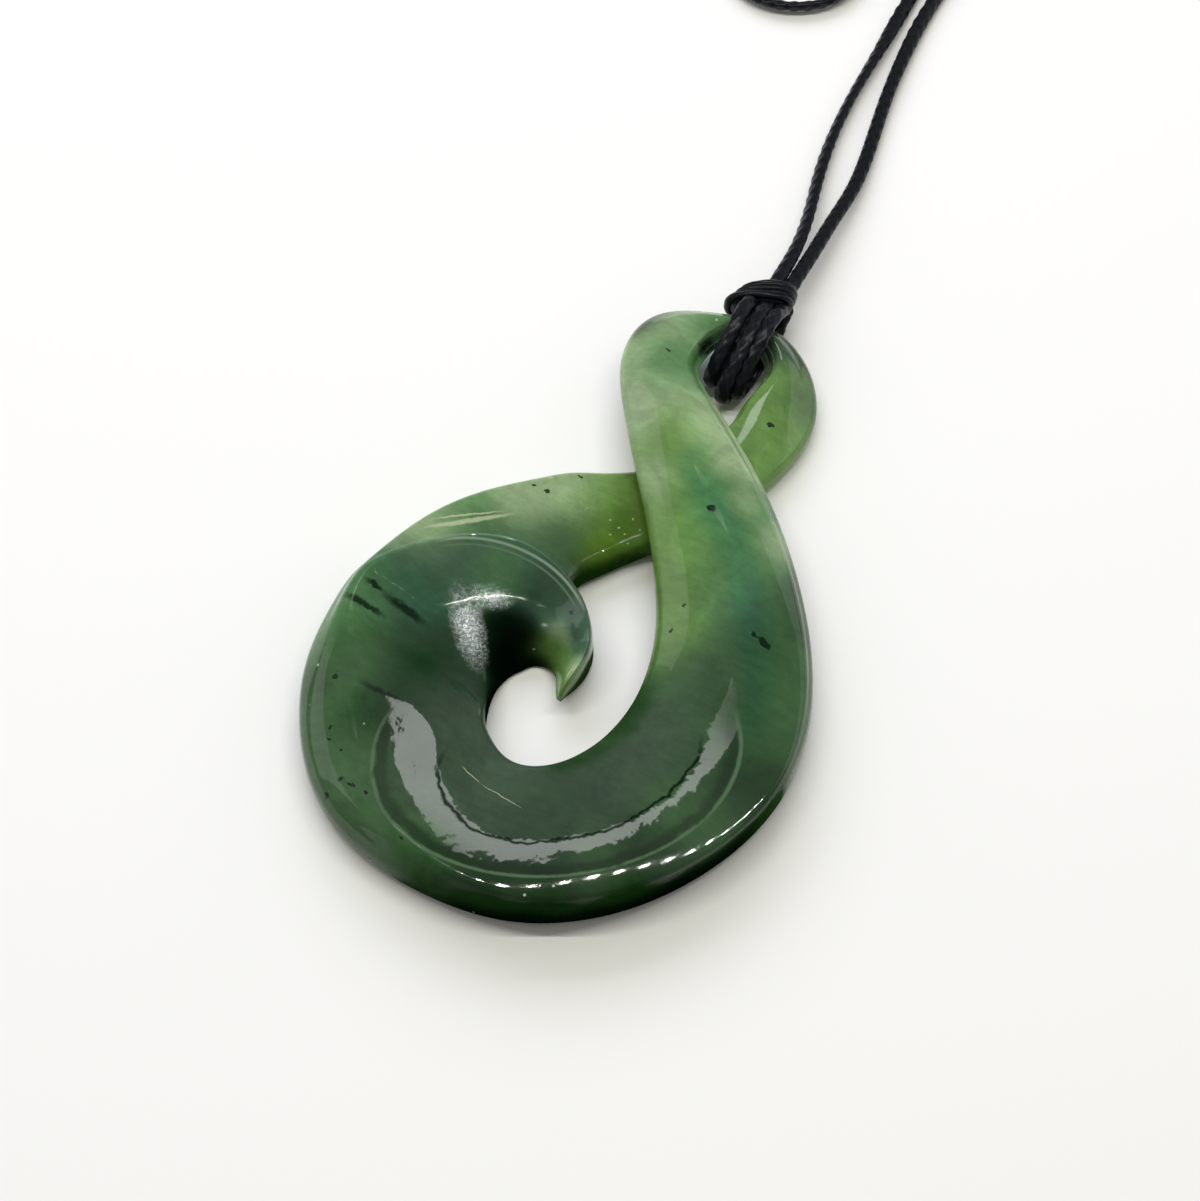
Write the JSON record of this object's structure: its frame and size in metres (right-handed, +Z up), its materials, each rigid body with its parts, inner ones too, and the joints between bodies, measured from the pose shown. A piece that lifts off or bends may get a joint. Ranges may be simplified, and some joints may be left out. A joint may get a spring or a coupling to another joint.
{
  "type": "greenstone koru pendant on a neck cord",
  "caption": "Koru pendant carved from green stone: a spiral disc whose tapering arm crosses over itself and loops back, hung by its loop on a bound, knotted black waxed neck cord, lying flat.",
  "frame": {"origin": "On the surface that the pendant lies on, under the middle of the stone's own box.", "axes": "+X across the stone, towards the side where the front arm comes down; +Y along the stone, from the foot of the disc to the cord loop; +Z up, out of the stone's carved front."},
  "size_m": [0.0587, 0.1942, 0.008],
  "materials": {
    "greenstone": "polished, slightly translucent",
    "waxed_cord": "waxed braid",
    "binding_thread": "waxed thread"
  },
  "bodies": {
    "root": {"greenstone": "greenstone", "hole_turns": "waxed_cord", "binding": "binding_thread", "neck_cord_left": "waxed_cord", "neck_cord_right": "waxed_cord", "back_knot": "waxed_cord"}
  },
  "joints": []
}
